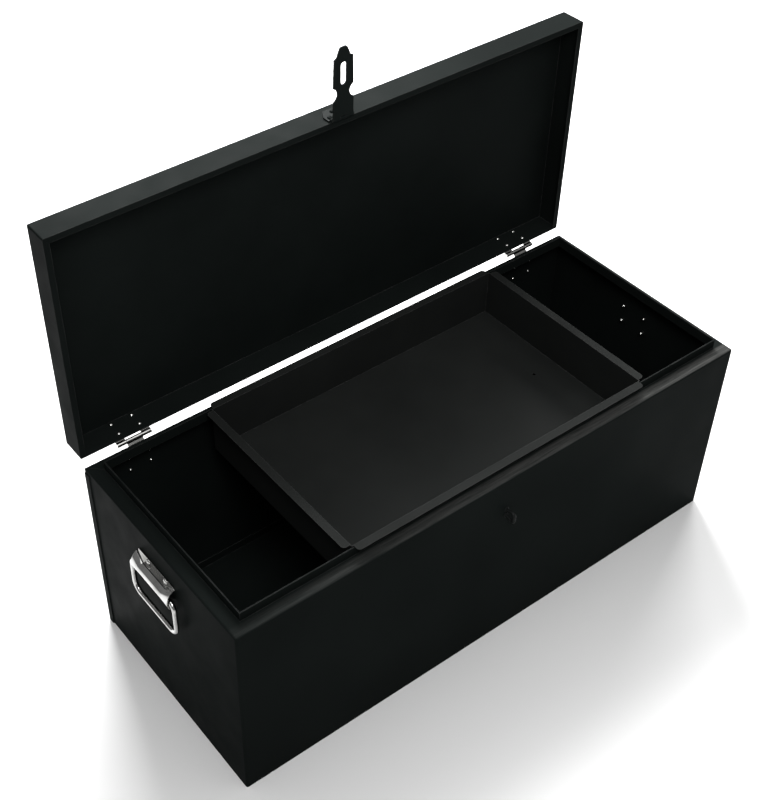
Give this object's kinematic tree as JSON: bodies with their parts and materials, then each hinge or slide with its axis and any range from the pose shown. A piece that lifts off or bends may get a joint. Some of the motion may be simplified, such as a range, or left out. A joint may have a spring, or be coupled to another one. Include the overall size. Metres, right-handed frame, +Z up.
{
  "type": "steel toolbox",
  "caption": "Long steel toolbox with a hinged pan lid, a hasp and staple, drop handles on the ends and a lift-out tray that slides along the rim.",
  "frame": {"origin": "middle of the underside of the box", "axes": "+X along the length to the right, -Y to the front with the hasp, +Z up"},
  "size_m": [0.84, 0.395, 0.7356],
  "materials": {
    "box_paint": "semi-matte black powder coat",
    "tray_paint": "semi-matte black powder coat",
    "hasp_paint": "black paint, worn at the edges",
    "hinge_plate": "zinc plated",
    "pin_steel": "bright drawn steel",
    "rivet_steel": "bright steel, set",
    "handle_plate": "bright zinc plate",
    "handle_rod": "bright zinc plate"
  },
  "bodies": {
    "body": {"body_wrap": "box_paint", "back_panel": "box_paint", "floor_pan": "box_paint", "left_hinge_body_leaf": "hinge_plate", "right_hinge_body_leaf": "hinge_plate", "left_hinge_pin": "pin_steel", "right_hinge_pin": "pin_steel", "body_hinge_rivets": "rivet_steel", "staple": "hasp_paint", "left_handle_plate": "handle_plate", "right_handle_plate": "handle_plate", "left_handle_rivets": "rivet_steel", "right_handle_rivets": "rivet_steel"},
    "lid": {"lid_pan": "box_paint", "left_hinge_lid_leaf": "hinge_plate", "right_hinge_lid_leaf": "hinge_plate", "lid_hinge_rivets": "rivet_steel", "hasp_base": "hasp_paint", "hasp_pin": "pin_steel", "hasp_rivets": "rivet_steel"},
    "hasp": {"hasp_strap": "hasp_paint"},
    "left_bail": {"left_handle_bail": "handle_rod"},
    "right_bail": {"right_handle_bail": "handle_rod"},
    "tray": {"tray_pan": "tray_paint"}
  },
  "joints": [
    {"name": "lid_hinge", "type": "hinge", "parent": "body", "child": "lid", "pos_m": [0, 0.174, 0.297], "axis": [1, 0, 0], "range_deg": [0, 90]},
    {"name": "hasp_pivot", "type": "hinge", "parent": "lid", "child": "hasp", "pos_m": [0, 0.173, 0.6416], "axis": [1, 0, 0], "range_deg": [-90, 90]},
    {"name": "left_bail_pivot", "type": "hinge", "parent": "body", "child": "left_bail", "pos_m": [-0.4145, 0.0015, 0.241], "axis": [0, 1, 0], "range_deg": [-5, 90]},
    {"name": "right_bail_pivot", "type": "hinge", "parent": "body", "child": "right_bail", "pos_m": [0.4145, 0.0015, 0.241], "axis": [0, -1, 0], "range_deg": [-5, 90]},
    {"name": "tray_slide", "type": "slide", "parent": "body", "child": "tray", "axis": [1, 0, 0], "range_m": [-0.156, 0.14]}
  ]
}
